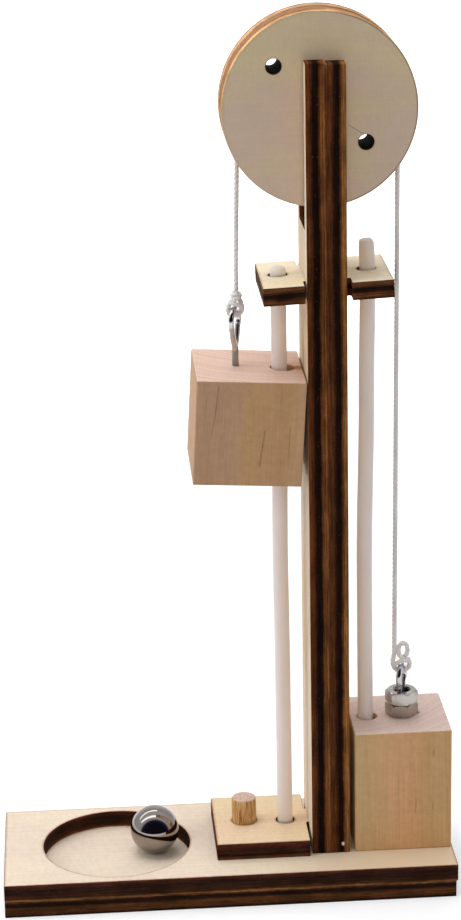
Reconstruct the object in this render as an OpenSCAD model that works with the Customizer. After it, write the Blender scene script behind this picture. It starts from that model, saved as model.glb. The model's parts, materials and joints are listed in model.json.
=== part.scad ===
// Pulley demonstrator: a grooved wheel on a plywood mast, with a cord that joins
// a lift block on the left guide rod to a counterweight block on the right one.
// Millimetres. +Z up, X to the right along the base, the origin under the base's middle.

/* [Base] */
// length of the base along X
base_len = 109.5; // [106:0.5:125]
// depth of the base along Y
base_depth = 41; // [39:0.5:50]
// thickness of the lower sheet
lower_t = 4.2; // [3:0.1:6]
// thickness of the upper sheet
upper_t = 4.2; // [3.6:0.1:6]
// how far the lower sheet stops short at the right end
lower_short = 0.4; // [0:0.1:1]

/* [Ball tray] */
// diameter of the round opening in the upper sheet
tray_d = 36; // [32:0.5:37]
// distance from the base's left end to the tray's middle
tray_inset = 27.6; // [25:0.1:29]
// diameter of the steel ball
ball_d = 12; // [10:0.5:13]
// distance of the ball's middle from the tray's middle
ball_off = 10; // [4:0.5:10.5]
// direction of the ball from the tray's middle, from +X towards +Y
ball_angle = 18; // [0:1:360]

/* [Mast] */
// distance from the base's middle to the seam between the mast's two layers
mast_x = 24.9; // [23.5:0.1:25.2]
// thickness of each mast layer
layer_t = 4.6; // [4.2:0.1:4.9]
// depth of the mast along Y
mast_depth = 21.6; // [21:0.1:24]
// distance of the mast's front face in front of the base's middle
mast_front = 11; // [10.8:0.1:12]
// height of the mast above the base
mast_h = 193; // [189:0.5:210]
// depth of the prong in front of the wheel
front_prong = 4.6; // [4:0.1:4.8]
// width of the slot for the wheel
slot_w = 13.2; // [13:0.1:13.8]
// depth of the slot below the mast's top
slot_deep = 38.3; // [36:0.1:42]
// drop of the bevel at the seam's top edges
seam_bevel = 1; // [0.4:0.1:1.5]

/* [Wheel] */
// outer diameter of the wheel's two cheek discs
wheel_d = 44.5; // [42:0.5:48]
// thickness of each disc
disc_t = 4.2; // [3.8:0.05:4.25]
// diameter of the core disc that the cord runs on
core_d = 35.4; // [33:0.2:36.4]
// distance of the axle below the mast's top
axle_drop = 11; // [9:0.5:14]
// how far the axle sits to the left of the mast's seam
axle_off = 0.8; // [0:0.1:0.8]
// diameter of the axle pin
axle_d = 3; // [2.6:0.1:4]
// depth of the axle's blind hole in the front prong
axle_blind = 2.5; // [1.5:0.1:3]
// radial clearance of the wheel on the axle
axle_play = 0.05; // [0.03:0.01:0.08]
// diameter of the wheel's two small holes
peep_d = 3.5; // [2.5:0.1:4.5]
// the left hole's place from the axle, along X and Z
peep_left = [-10.4, 10.1];
// the right hole's place from the axle, along X and Z
peep_right = [10.4, -7.6];

/* [Guide bracket] */
// distance of the bracket's middle below the mast's top, at the seam
bracket_drop = 51.9; // [49:0.1:56]
// reach of each wing from the seam
bracket_reach = 15; // [14:0.1:15.2]
// depth of the bracket's wings
bracket_depth = 24.9; // [24:0.1:28]
// thickness of the bracket's sheet
bracket_t = 4.2; // [3:0.1:5]
// width of the tabs that pass into the mast
tab_w = 16; // [12:0.1:16.5]
// how far the right end of the bracket is raised, in degrees
bracket_tilt = 2.3; // [0:0.1:2.5]
// gap between a wing's shoulders and the mast
shoulder_gap = 0.8; // [0.6:0.1:1]
// how far the bracket has slipped to the right in the mast
bracket_slip = 0.3; // [0:0.1:0.3]
// diameter of the holes for the guide rods
guide_hole_d = 4.5; // [4.4:0.1:5]

/* [Foot plate] */
// distance of the foot plate's left end from the mast
foot_len = 23.3; // [22:0.1:24.5]
// depth of the foot plate
foot_depth = 26.4; // [25:0.1:30]
// how far the foot plate's middle and the dowel lie behind the cord's plane
foot_back = 0.8; // [0:0.1:1.2]
// thickness of the foot plate
foot_t = 4.2; // [3:0.1:5]
// gap between the foot plate's shoulders and the mast
foot_gap = 0.6; // [0.3:0.1:1]
// width of the foot plate's tab
foot_tab_w = 7.7; // [5:0.1:9]
// how far the tab's middle lies behind the cord's plane
foot_tab_back = 1.9; // [0:0.1:2.2]

/* [Stop dowel] */
// diameter of the stop dowel
dowel_d = 6; // [5:0.1:7]
// height of the dowel above the foot plate
dowel_h = 6.3; // [4:0.1:6.4]
// distance of the dowel to the left of the left rod
dowel_off = 10.1; // [9:0.1:10.5]

/* [Guide rods] */
// diameter of the guide rods
rod_d = 3.7; // [3.4:0.1:3.8]
// distance of the left rod to the left of the seam
rod_left_off = 10.3; // [10.1:0.1:10.4]
// distance of the right rod to the right of the seam
rod_right_off = 10; // [9.9:0.1:10.1]
// how far the bracket's right hole is centred beyond the right rod
guide_shift = 0.3; // [0:0.05:0.3]
// height of the left rod above the bracket's middle
rod_left_up = 4; // [1.8:0.1:4.5]
// height of the rounded end of the left rod
rod_dome = 1.3; // [0.6:0.1:1.5]
// height of the right rod above the bracket's middle
rod_right_up = 9.5; // [6:0.1:11]
// width of the slanted cut at the right rod's tip
rod_cut = 0.6; // [0.3:0.1:1.2]
// height of that cut
rod_cut_h = 1.4; // [0.8:0.1:3]

/* [Lift block] */
// side of the wooden lift block
lift_size = 25.4; // [25:0.1:25.9]
// gap between the block's nearest edge and the mast
lift_gap = 0.25; // [0.25:0.05:0.4]
// how far the block's middle lies behind the cord's plane
lift_back = 0.5; // [0:0.1:1.5]
// distance of the block's middle below the bracket's middle
lift_drop = 32.6; // [32:0.1:36]
// how far the block's right side hangs down, in degrees
lift_tilt = 3.4; // [0:0.1:3.4]
// how far the block's front hangs down, in degrees
lift_lean = 1.6; // [0:0.1:1.6]
// clearance around the left rod in the tilted hole
lift_play = 0.15; // [0.1:0.05:0.25]
// distance of the left eye to the left of the left rod
lift_eye_off = 10.2; // [9.6:0.1:10.4]
// length of the left eye's stem that shows
lift_stem = 4.3; // [3:0.1:6]

/* [Counterweight block] */
// width of the counterweight block
counter_w = 23.6; // [22:0.1:23.6]
// depth of the counterweight block
counter_depth = 23.3; // [22:0.1:28]
// height of the counterweight block
counter_h = 31.1; // [28:0.1:33]
// gap between the counterweight block and the mast
counter_gap = 1.3; // [1.3:0.1:1.5]
// how far the block's middle lies behind the cord's plane
counter_back = 0.6; // [0:0.1:1]
// diameter of the hole around the right rod
counter_hole_d = 4.9; // [4.5:0.1:5.2]
// distance of the right eye to the right of the block's middle
counter_eye_off = 1; // [0:0.1:1]
// diameter of the small spare hole beside the nuts
spare_d = 1.8; // [1:0.1:2.2]
// depth of the spare hole
spare_deep = 6; // [3:0.5:10]
// distance of the spare hole to the right of the right eye
spare_off = 3.6; // [3.6:0.1:6]

/* [Blocks] */
// bevel on the edges of both blocks
block_edge = 0.35; // [0.2:0.05:0.8]

/* [Eyes and nuts] */
// outer diameter of the eyes' rings
eye_d = 7.2; // [7:0.1:8]
// length of the neck between each ring and its stem
neck_h = 3; // [2:0.1:3.2]
// width of the neck where it meets the ring
neck_d = 2.8; // [2.4:0.1:2.8]
// thickness of the rings' wire
wire_d = 1.4; // [1.2:0.1:1.5]
// diameter of the eyes' stems
stem_d = 1.6; // [1.4:0.1:2]
// length of each stem inside its block
stem_in = 7; // [5:0.5:10]
// direction of the rings, turned from the front-to-back line towards +X
eye_turn = 21; // [0:1:30]
// width of the nuts across their flats
nut_flats = 7; // [6.6:0.1:7]
// thickness of each nut
nut_t = 3.2; // [2.4:0.1:3.2]
// diameter of the nuts' bores
nut_bore = 3.4; // [3:0.1:3.6]
// turn of the lower nut about the eye's stem
nut_turn = -11; // [-30:1:30]
// turn of the upper nut about the eye's stem
nut_turn_top = -16; // [-30:1:30]

/* [Cord] */
// diameter of the cord
cord_d = 1.1; // [0.8:0.1:1.2]
// gap between the cord and the wheel's core
cord_gap = 0.1; // [0.1:0.05:0.2]

/* [Hidden] */
$fn = 96;
// clearance of glued and pressed wooden joints, on each side
fit = 0.03;
// gap between pieces that slide or turn past each other
loose = 0.05;
// gap that keeps the resting ball clear of the base, and the cord's runs clear of the knots
touch = 0.05;
// sides of a cord's tube
cord_sides = 8;
// the plane of the rods, the wheel and the cord
line_y = 0.2;

base_top = lower_t + upper_t;
tray_x = tray_inset - base_len / 2;
ball_at = [tray_x + ball_off * cos(ball_angle), ball_off * sin(ball_angle), lower_t + ball_d / 2 + touch];

mast_top = base_top + mast_h;
slot_front = front_prong - mast_front;
slot_floor = mast_top - slot_deep;
wheel_x = mast_x - axle_off;
axle_z = mast_top - axle_drop;
wheel_y = slot_front + slot_w / 2;
wheel_t = 3 * disc_t;
pin_hole_d = axle_d + 2 * fit;
pin_front = slot_front - axle_blind;
pin_back = mast_depth - mast_front;

bracket_z = mast_top - bracket_drop;
rod_left_x = mast_x - rod_left_off;
rod_right_x = mast_x + rod_right_off;
socket_d = rod_d + 2 * fit;

foot_left = mast_x - layer_t - foot_len;
foot_tab_y = line_y + foot_tab_back;
dowel_x = rod_left_x - dowel_off;
dowel_hole_d = dowel_d + 2 * fit;
foot_y = line_y + foot_back;

// reach of the hanging block from its middle towards the mast
lift_reach = lift_size / 2 * (cos(lift_tilt) + sin(lift_tilt));
lift_at = [mast_x - layer_t - lift_gap - lift_reach, line_y + lift_back, bracket_z - lift_drop];
lift_hang = [lift_lean, lift_tilt, 0];
lift_slope = sqrt(pow(tan(lift_tilt), 2) + pow(tan(lift_lean), 2));
lift_hole_d = rod_d + lift_size * lift_slope + 2 * lift_play;
lift_eye_x = rod_left_x - lift_eye_off;
// the block's top above its middle, over the eye
lift_eye_up = lift_size / 2 * (cos(lift_tilt) + cos(lift_lean) - 1)
    + (lift_at.x - lift_eye_x) * tan(lift_tilt) - lift_back * tan(lift_lean);
lift_eye_at = [lift_eye_x, line_y, lift_at.z + lift_eye_up + lift_stem + neck_h + eye_d / 2];

counter_at = [
    mast_x + layer_t + counter_gap + counter_w / 2, line_y + counter_back, base_top + counter_h / 2,
];
counter_top = base_top + counter_h;
nuts_top = counter_top + 2 * nut_t;
counter_eye_x = counter_at.x + counter_eye_off;
counter_eye_at = [counter_eye_x, counter_at.y, nuts_top + eye_d / 2];
nut_corners = nut_flats / cos(30);

cord_r = core_d / 2 + cord_gap + cord_d / 2;
ring_r = (eye_d - wire_d) / 2;

// the left knot's strand, from each eye's ring top: right, back and up
left_strand = [
    [0.45, 0, 5.2], [0.45, 0, 4.2], [0.5, 0.1, 3.3], [0.75, 0.2, 2.4], [1.15, 0.2, 1.5], [1.5, 0.1, 0.7],
    [1.75, 0, -0.2], [1.7, 0, -1.1], [1.35, 0, -1.85], [0.75, 0, -2.25], [0, 0, -2.4],
    [-0.75, 0, -2.25], [-1.3, -0.1, -1.75], [-1.5, -0.2, -1], [-1.4, -0.4, -0.1], [-1.05, -0.6, 0.7],
    [-0.6, -0.8, 1.5], [-0.2, -0.9, 2.2],
];
// the left knot's band over the ring's top
left_band = [
    [1.7, -0.2, -0.8], [1.45, -0.8, -0.1], [0.8, -1.15, 0.4], [0, -1.2, 0.75], [-0.7, -0.9, 1], [-1, -0.3, 1.5],
];
// the left knot's turns round the standing cord
left_turn = [
    [-0.9, -0.4, 1.3], [-0.4, -0.95, 1.6], [0.4, -1.2, 1.9], [1, -0.9, 2.2], [1.3, -0.2, 2.4],
    [1.1, 0.6, 2.6], [0.4, 0.9, 2.8], [-0.3, 0.7, 2.85], [-0.6, 0, 2.8], [-0.4, -0.7, 2.75],
    [0.1, -1, 2.8], [0.8, -0.9, 2.9],
];
// the right knot's strand, from the standing cord, down the left lobe and through the ring
right_strand = [
    [-1.75, 0, 5.8], [-1.75, 0, 4.6], [-1.75, 0, 3.3], [-1.85, -0.1, 2.1], [-2.1, -0.3, 1],
    [-2.2, -0.4, 0], [-2, -0.4, -0.9], [-1.5, -0.3, -1.7], [-0.8, -0.1, -2.25], [0, 0, -2.4],
    [0.8, 0.1, -2.3], [1.45, 0.2, -1.95], [1.85, 0.1, -1.3], [1.95, 0, -0.5], [1.75, -0.2, 0.3], [1.35, -0.5, 1],
];
// the right knot's open loop above the ring
right_loop = [
    [1.7, -0.4, 0.4], [1.1, -0.8, 0.9], [0.3, -0.9, 1.2], [-0.4, -0.7, 1.7], [-0.75, -0.4, 2.5],
    [-0.75, -0.1, 3.5], [-0.4, 0, 4.4], [0.25, 0, 4.9], [0.95, 0, 4.6], [1.35, 0, 3.8],
    [1.4, -0.1, 2.8], [1.15, -0.4, 2], [0.6, -0.9, 1.7],
];
// the right knot's turn across the front
right_turn = [
    [-2.05, -0.6, -0.6], [-1.6, -0.95, -0.2], [-1.1, -1.15, 0.25], [-0.5, -1.3, 0.65],
    [0.2, -1.35, 0.85], [0.9, -1.2, 0.8], [1.6, -0.6, 0.3],
];

// a box round the origin with all its edges bevelled
module bevelled_box(w, d, h, edge) {
    intersection() {
        linear_extrude(h, center = true) polygon(bevelled_rect(w, d, edge));
        rotate([90, 0, 0]) linear_extrude(d, center = true) polygon(bevelled_rect(w, h, edge));
        rotate([90, 0, 90]) linear_extrude(w, center = true) polygon(bevelled_rect(d, h, edge));
    }
}

function bevelled_rect(w, h, e) = [
    [e - w / 2, -h / 2], [w / 2 - e, -h / 2], [w / 2, e - h / 2], [w / 2, h / 2 - e],
    [w / 2 - e, h / 2], [e - w / 2, h / 2], [-w / 2, h / 2 - e], [-w / 2, e - h / 2],
];

// a cylinder along +Y from the point [x, y0, z] to y1
module rod_y(x, z, y0, y1, d) {
    translate([x, y0, z]) rotate([-90, 0, 0]) cylinder(d = d, h = y1 - y0);
}

// a tube of round section along a list of points
function unit(v) = v / norm(v);
function along(p, i) =
    i == 0 ? unit(p[1] - p[0])
    : i == len(p) - 1 ? unit(p[i] - p[i - 1])
    : unit(unit(p[i + 1] - p[i]) + unit(p[i] - p[i - 1]));
function across(p, i) =
    i == 0 ? unit(cross(along(p, 0), [0, 1, 0.01]))
    : let (s = across(p, i - 1), t = along(p, i)) unit(s - (s * t) * t);

module tube(p, d, sides) {
    last = len(p) - 1;
    rings = [
        for (i = [0:last])
            let (t = along(p, i), s = across(p, i), b = cross(t, s))
            for (k = [0:sides - 1])
                p[i] + d / 2 * (cos(360 * k / sides) * s + sin(360 * k / sides) * b)
    ];
    walls = [
        for (i = [0:last - 1])
            for (k = [0:sides - 1])
                let (n = (k + 1) % sides, a = i * sides, b = (i + 1) * sides)
                each [[a + k, b + k, a + n], [a + n, b + k, b + n]]
    ];
    start_cap = [for (k = [1:sides - 2]) [0, k, k + 1]];
    end_cap = [for (k = [1:sides - 2]) [last * sides, last * sides + k + 1, last * sides + k]];
    polyhedron(points = rings, faces = concat(start_cap, walls, end_cap));
}

// a knot's points, given right, back and up of the ring's top, in the part's frame
function knot_route(eye, p) = [for (q = p) eye + [0, 0, eye_d / 2] + q];

module base_lower() {
    color("#cdb084")
    translate([-base_len / 2, -base_depth / 2, 0])
    cube([base_len - lower_short, base_depth, lower_t]);
}

module base_upper() {
    color("#e3d2a9")
    difference() {
        translate([-base_len / 2, -base_depth / 2, lower_t])
        cube([base_len, base_depth, upper_t]);
        translate([tray_x, 0, lower_t - 1]) cylinder(d = tray_d, h = upper_t + 2);
        for (x = [rod_left_x, rod_right_x])
            translate([x, line_y, lower_t - 1]) cylinder(d = socket_d, h = upper_t + 2);
    }
}

module ball() {
    color("#c9ccd1")
    translate(ball_at) sphere(d = ball_d);
}

// one layer of the mast; side is -1 for the left one and 1 for the right one
module mast_layer(side) {
    seam_in = side < 0 ? mast_x - layer_t : mast_x;
    difference() {
        translate([seam_in, -mast_front, base_top])
        cube([layer_t, mast_depth, mast_h]);
        // the wheel's slot
        translate([seam_in - 1, slot_front, slot_floor])
        cube([layer_t + 2, slot_w, slot_deep + 1]);
        // the bracket's mortise
        translate([mast_x, line_y, bracket_z]) rotate([0, -bracket_tilt, 0])
        cube([3 * layer_t, tab_w + 2 * fit, bracket_t + 2 * fit], center = true);
        // the axle's hole, blind in the front prong
        rod_y(wheel_x, axle_z, pin_front, pin_back + 1, pin_hole_d);
        // the bevel on the seam's top edge
        translate([mast_x, -mast_front - 1, mast_top])
        rotate([-90, 0, 0]) linear_extrude(mast_depth + 2)
        polygon([[-seam_bevel / 2, -0.01], [seam_bevel / 2, -0.01], [0, seam_bevel]]);
    }
}

module mast_left() {
    color("#4a2a18")
    difference() {
        mast_layer(-1);
        // the foot plate's notch
        translate([mast_x - layer_t - 1, foot_tab_y - foot_tab_w / 2 - fit, base_top - 1])
        cube([layer_t + 2, foot_tab_w + 2 * fit, foot_t + 1 + fit]);
    }
}

module mast_right() {
    color("#4a2a18") mast_layer(1);
}

module axle_pin() {
    color("#9a9da0") rod_y(wheel_x, axle_z, pin_front, pin_back, axle_d);
}

// one disc of the wheel, the nth from the front
module wheel_disc(n, d) {
    front = wheel_y - wheel_t / 2 + n * disc_t;
    difference() {
        rod_y(wheel_x, axle_z, front, front + disc_t, d);
        rod_y(wheel_x, axle_z, front - 1, front + disc_t + 1, axle_d + 2 * axle_play);
        for (hole = [peep_left, peep_right])
            rod_y(wheel_x + hole.x, axle_z + hole.y, front - 1, front + disc_t + 1, peep_d);
    }
}

module wheel_front() {
    color("#b39e86") wheel_disc(0, wheel_d);
}

module wheel_core() {
    color("#7a5232") wheel_disc(1, core_d);
}

module wheel_back() {
    color("#b39e86") wheel_disc(2, wheel_d);
}

// one wing of the guide bracket with its tab; side is -1 for left and 1 for right
module bracket_wing(side) {
    shoulder = layer_t + shoulder_gap + side * bracket_slip;
    reach = bracket_reach + side * bracket_slip;
    rod_at = side < 0 ? rod_left_off : rod_right_off + guide_shift;
    difference() {
        translate([mast_x, line_y, bracket_z]) rotate([0, -bracket_tilt, 0]) union() {
            translate([side * (shoulder + reach) / 2, 0, 0])
            cube([reach - shoulder, bracket_depth, bracket_t], center = true);
            translate([side * (shoulder + 1 + loose) / 2, 0, 0])
            cube([shoulder + 1 - loose, tab_w, bracket_t], center = true);
        }
        translate([mast_x + side * rod_at, line_y, bracket_z - bracket_t])
        cylinder(d = guide_hole_d, h = 2 * bracket_t);
    }
}

module bracket_left() {
    color("#dcc79a") bracket_wing(-1);
}

module bracket_right() {
    color("#dcc79a") bracket_wing(1);
}

module foot_plate() {
    color("#d9c08f")
    difference() {
        union() {
            translate([foot_left, foot_y - foot_depth / 2, base_top])
            cube([foot_len - foot_gap, foot_depth, foot_t]);
            translate([mast_x - layer_t - foot_gap - 1, foot_tab_y - foot_tab_w / 2, base_top])
            cube([layer_t + foot_gap + 1, foot_tab_w, foot_t]);
        }
        translate([rod_left_x, line_y, base_top - 1]) cylinder(d = guide_hole_d, h = foot_t + 2);
        translate([dowel_x, foot_y, base_top - 1]) cylinder(d = dowel_hole_d, h = foot_t + 2);
    }
}

module stop_dowel() {
    color("#c79a6b")
    translate([dowel_x, foot_y, base_top]) cylinder(d = dowel_d, h = foot_t + dowel_h);
}

module rod_left() {
    top = bracket_z + rod_left_up;
    // the radius of a cap as wide as the rod and as high as the dome
    cap_r = (pow(rod_d / 2, 2) + pow(rod_dome, 2)) / (2 * rod_dome);
    color("#d8d2cd")
    intersection() {
        translate([rod_left_x, line_y, lower_t]) cylinder(d = rod_d, h = top - lower_t);
        translate([rod_left_x, line_y, 0])
        union() {
            cylinder(d = 3 * rod_d, h = top - rod_dome);
            translate([0, 0, top - cap_r]) sphere(r = cap_r);
        }
    }
}

module rod_right() {
    top = bracket_z + rod_right_up;
    color("#d8d2cd")
    difference() {
        translate([rod_right_x, line_y, lower_t]) cylinder(d = rod_d, h = top - lower_t);
        translate([rod_right_x + rod_d / 2, line_y, top]) rotate([90, 0, 0])
        linear_extrude(2 * rod_d, center = true)
        polygon([[-rod_cut, 0], [0, -rod_cut_h], [1, -rod_cut_h], [1, 1], [-rod_cut, 1]]);
    }
}

module lift_block() {
    color("#b98f66")
    difference() {
        translate(lift_at) rotate(lift_hang)
        bevelled_box(lift_size, lift_size, lift_size, block_edge);
        // the hole leans with the block and clears the upright rod
        translate([rod_left_x, line_y, lift_at.z]) rotate(lift_hang)
        cylinder(d = lift_hole_d, h = 2 * lift_size, center = true);
        translate([lift_eye_at.x, line_y, lift_at.z + lift_eye_up - stem_in])
        cylinder(d = stem_d + 2 * fit, h = stem_in + lift_stem);
    }
}

// a screw eye whose ring's middle is at the point, with its neck and its stem down into the block
module screw_eye(at, stem) {
    ring_low = at.z - eye_d / 2;
    translate(at) rotate([0, 0, 90 - eye_turn]) rotate([90, 0, 0])
    rotate_extrude() translate([ring_r, 0]) circle(d = wire_d, $fn = 32);
    translate([at.x, at.y, ring_low - neck_h])
    cylinder(d1 = stem_d, d2 = neck_d, h = neck_h + wire_d / 2, $fn = 32);
    translate([at.x, at.y, ring_low - neck_h - stem - stem_in + loose])
    cylinder(d = stem_d, h = stem + stem_in, $fn = 32);
}

module lift_eye() {
    color("#b9bcc0") screw_eye(lift_eye_at, lift_stem);
}

module counter_block() {
    color("#b98f66")
    difference() {
        translate(counter_at) bevelled_box(counter_w, counter_depth, counter_h, block_edge);
        translate([rod_right_x + guide_shift / 2, line_y, base_top - 1])
        cylinder(d = counter_hole_d, h = counter_h + 2);
        translate([counter_eye_at.x, counter_eye_at.y, counter_top - stem_in])
        cylinder(d = stem_d + 2 * fit, h = stem_in + 1);
        translate([counter_eye_at.x + spare_off, counter_eye_at.y, counter_top - spare_deep])
        cylinder(d = spare_d, h = spare_deep + 1);
    }
}

module counter_eye() {
    color("#b9bcc0") screw_eye(counter_eye_at, 2 * nut_t - neck_h);
}

// a hexagon nut with bevelled corners and a countersunk bore
module hex_nut(z, turn) {
    bevel = (nut_corners - nut_flats) / 2;
    rim = nut_corners / 2;
    sink = 0.5;
    translate([counter_eye_at.x, counter_eye_at.y, z]) rotate([0, 0, turn])
    difference() {
        intersection() {
            cylinder(d = nut_corners, h = nut_t, $fn = 6);
            rotate_extrude() polygon([
                [0, 0], [rim - bevel, 0], [rim, bevel], [rim, nut_t - bevel], [rim - bevel, nut_t], [0, nut_t],
            ]);
        }
        translate([0, 0, -1]) cylinder(d = nut_bore, h = nut_t + 2);
        translate([0, 0, nut_t - sink]) cylinder(d1 = nut_bore, d2 = nut_bore + 4 * sink, h = 2 * sink);
        translate([0, 0, -sink]) cylinder(d1 = nut_bore + 4 * sink, d2 = nut_bore, h = 2 * sink);
    }
}

module nut_lower() {
    color("#a8a39c") hex_nut(counter_top, nut_turn);
}

module nut_upper() {
    color("#b4b1ad") hex_nut(counter_top + nut_t, nut_turn_top);
}

// the straight runs leave the wheel upright and lean to their knots
module cord_run(x, knot_top) {
    lead = 3;
    color("#c9c3c0")
    tube([
        [x, line_y, axle_z - touch], [x, line_y, axle_z - lead],
        [knot_top.x, knot_top.y, knot_top.z + lead], knot_top + [0, 0, touch],
    ], cord_d, cord_sides);
}

module cord_left() {
    cord_run(wheel_x - cord_r, knot_route(lift_eye_at, left_strand)[0]);
}

module cord_right() {
    cord_run(wheel_x + cord_r, knot_route(counter_eye_at, right_strand)[0]);
}

module cord_over_wheel() {
    color("#c9c3c0")
    translate([wheel_x, line_y, axle_z]) rotate([90, 0, 0])
    rotate_extrude(angle = 180) translate([cord_r, 0]) circle(d = cord_d, $fn = cord_sides);
}

module knot_left() {
    color("#c9c3c0") {
        tube(knot_route(lift_eye_at, left_strand), cord_d, cord_sides);
        tube(knot_route(lift_eye_at, left_band), cord_d, cord_sides);
        tube(knot_route(lift_eye_at, left_turn), cord_d, cord_sides);
    }
}

module knot_right() {
    color("#c9c3c0") {
        tube(knot_route(counter_eye_at, right_strand), cord_d, cord_sides);
        tube(knot_route(counter_eye_at, right_loop), cord_d, cord_sides);
        tube(knot_route(counter_eye_at, right_turn), cord_d, cord_sides);
    }
}

base_lower();
base_upper();
ball();
mast_left();
mast_right();
axle_pin();
wheel_front();
wheel_core();
wheel_back();
bracket_left();
bracket_right();
foot_plate();
stop_dowel();
rod_left();
rod_right();
lift_block();
lift_eye();
counter_block();
counter_eye();
nut_lower();
nut_upper();
cord_left();
cord_over_wheel();
cord_right();
knot_left();
knot_right();
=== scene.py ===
"""Looks of the pulley demonstrator: plywood with laser-browned edges, solid wood blocks, a twisted cord,
zinc-plated hardware and a polished ball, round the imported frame. Sizes are in millimetres, except for the
lamps, which are placed in metres."""

import json
from contextlib import contextmanager
from math import cos, degrees, pi, radians, sin, sqrt, tan

import bmesh
import bpy
from mathutils import Matrix, Vector, geometry, noise

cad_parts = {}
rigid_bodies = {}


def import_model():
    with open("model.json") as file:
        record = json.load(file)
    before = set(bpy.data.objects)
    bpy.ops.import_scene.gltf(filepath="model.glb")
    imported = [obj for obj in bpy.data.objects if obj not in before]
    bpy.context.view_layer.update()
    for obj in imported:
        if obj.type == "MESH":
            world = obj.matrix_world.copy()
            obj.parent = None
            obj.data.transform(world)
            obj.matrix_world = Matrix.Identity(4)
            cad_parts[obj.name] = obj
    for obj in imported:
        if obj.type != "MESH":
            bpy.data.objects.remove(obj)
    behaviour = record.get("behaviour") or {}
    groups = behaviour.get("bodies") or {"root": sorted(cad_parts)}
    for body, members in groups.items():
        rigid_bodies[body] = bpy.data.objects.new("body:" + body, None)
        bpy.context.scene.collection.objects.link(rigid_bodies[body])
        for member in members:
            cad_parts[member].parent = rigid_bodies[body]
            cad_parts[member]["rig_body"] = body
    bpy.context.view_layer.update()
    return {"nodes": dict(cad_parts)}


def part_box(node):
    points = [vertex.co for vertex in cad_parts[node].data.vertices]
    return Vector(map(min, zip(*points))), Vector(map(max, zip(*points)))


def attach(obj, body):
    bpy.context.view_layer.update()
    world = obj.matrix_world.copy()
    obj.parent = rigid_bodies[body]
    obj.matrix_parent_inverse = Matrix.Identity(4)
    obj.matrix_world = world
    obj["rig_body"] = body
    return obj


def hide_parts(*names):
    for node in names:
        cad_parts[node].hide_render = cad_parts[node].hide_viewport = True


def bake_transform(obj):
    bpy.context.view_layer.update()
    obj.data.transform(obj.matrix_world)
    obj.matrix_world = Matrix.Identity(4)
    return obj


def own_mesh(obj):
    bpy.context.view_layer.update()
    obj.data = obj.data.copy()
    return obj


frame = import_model()
MM = 0.001
X, Y, Z = Vector((1, 0, 0)), Vector((0, 1, 0)), Vector((0, 0, 1))

# ---- sizes


def corners(node):
    """A node's lowest and highest corner."""
    low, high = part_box(node)
    return Vector(low) / MM, Vector(high) / MM


def extent(node):
    """A node's middle, and its size along each axis."""
    low, high = corners(node)
    return (low + high) / 2, high - low


def middle(node):
    return extent(node)[0]


SEAM_X = corners("mast_left")[1].x
MAST_TOP = corners("mast_left")[1].z
AXLE = middle("wheel_core")
PEEPS = ((-10.4, 10.1), (10.4, -7.6))
PEEP_R = 1.75
AXLE_R = 1.5
SLOT_FLOOR, SLOT_FRONT, SLOT_BACK = 163.1, -6.4, 6.8
SEAM_NOTCH_LEFT, SEAM_NOTCH_RIGHT, SEAM_NOTCH_DEEP = 0.3, 0.45, 0.9
# how far each layer's front prong stands above its node's top, at the slot and at the front
PRONG_TOPS = {"mast_left": (0.5, 0.3), "mast_right": (0.25, 0.05)}
LINE_Y = middle("rod_left").y
BRACKET_Z = (corners("bracket_left")[0].z + corners("bracket_right")[1].z) / 2
BRACKET_TILT = radians(2.3)
BRACKET_T, BRACKET_REACH, BRACKET_DEPTH, BRACKET_SLIP = 4.2, 15.0, 24.9, 0.3
TAB_W, SHOULDER, TAB_START = 16.0, 5.4, 0.05
GUIDE_HOLE_R, GUIDE_OFF = 2.25, 10.3
FOOT_TAB_Y, FOOT_TAB_W, FOOT_SHOULDER = 2.1, 7.7, 0.6
TRAY_X, TRAY_R = -27.15, 18.0
ROD_R, SOCKET_R = 1.85, 1.88
DOWEL_R = 3.0
# what a tight joint leaves free on each side
FIT = 0.03
LIFT_SIZE = 25.4
LIFT_TILT, LIFT_LEAN = radians(3.4), radians(1.6)
LIFT_HOLE_R = 2.83
COUNTER_HOLE_X, COUNTER_HOLE_R = 35.05, 2.45
SPARE_R, SPARE_DEEP, SPARE_OFF = 0.9, 6.0, 3.6
EYE_R, WIRE_R, STEM_R, NECK_H = 3.6, 0.7, 0.8, 3.0
EYE_TURN = radians(21)
THREAD_PITCH, THREAD_DEEP = 0.7, 0.04
NUT_FLATS, NUT_BORE_R, NUT_THREAD_DEEP, NUT_SINK = 7.0, 1.7, 0.12, 0.5
NUT_TURNS = {"nut_lower": radians(-11), "nut_upper": radians(-13)}
CORD_R = 18.35

# ---- camera, where the photographer stood

CAMERA_AT = Vector((-34.03, -590.11, 299.67)) * MM
CAMERA_YAW, CAMERA_PITCH, CAMERA_ROLL = (radians(turn) for turn in (3.571, 18.079, -1.116))
FILM_H, FOCAL = 36.0, 103.144
# in metres
FARTHEST_SEEN = 20


def add_object(name, data):
    """A new object in the scene."""
    made = bpy.data.objects.new(name, data)
    bpy.context.scene.collection.objects.link(made)
    return made


def make_camera():
    data = bpy.data.cameras.new("camera")
    data.sensor_fit = "VERTICAL"
    data.sensor_height = FILM_H
    data.lens = FOCAL
    data.clip_end = FARTHEST_SEEN
    camera = add_object("camera", data)
    # looking level to the back, then turned to its side, tipped down and rolled
    camera.matrix_world = (
        Matrix.Translation(CAMERA_AT) @ Matrix.Rotation(-CAMERA_YAW, 4, "Z")
        @ Matrix.Rotation(pi / 2 - CAMERA_PITCH, 4, "X") @ Matrix.Rotation(CAMERA_ROLL, 4, "Z"))
    bpy.context.scene.camera = camera


make_camera()

# ---- shader helpers


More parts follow.
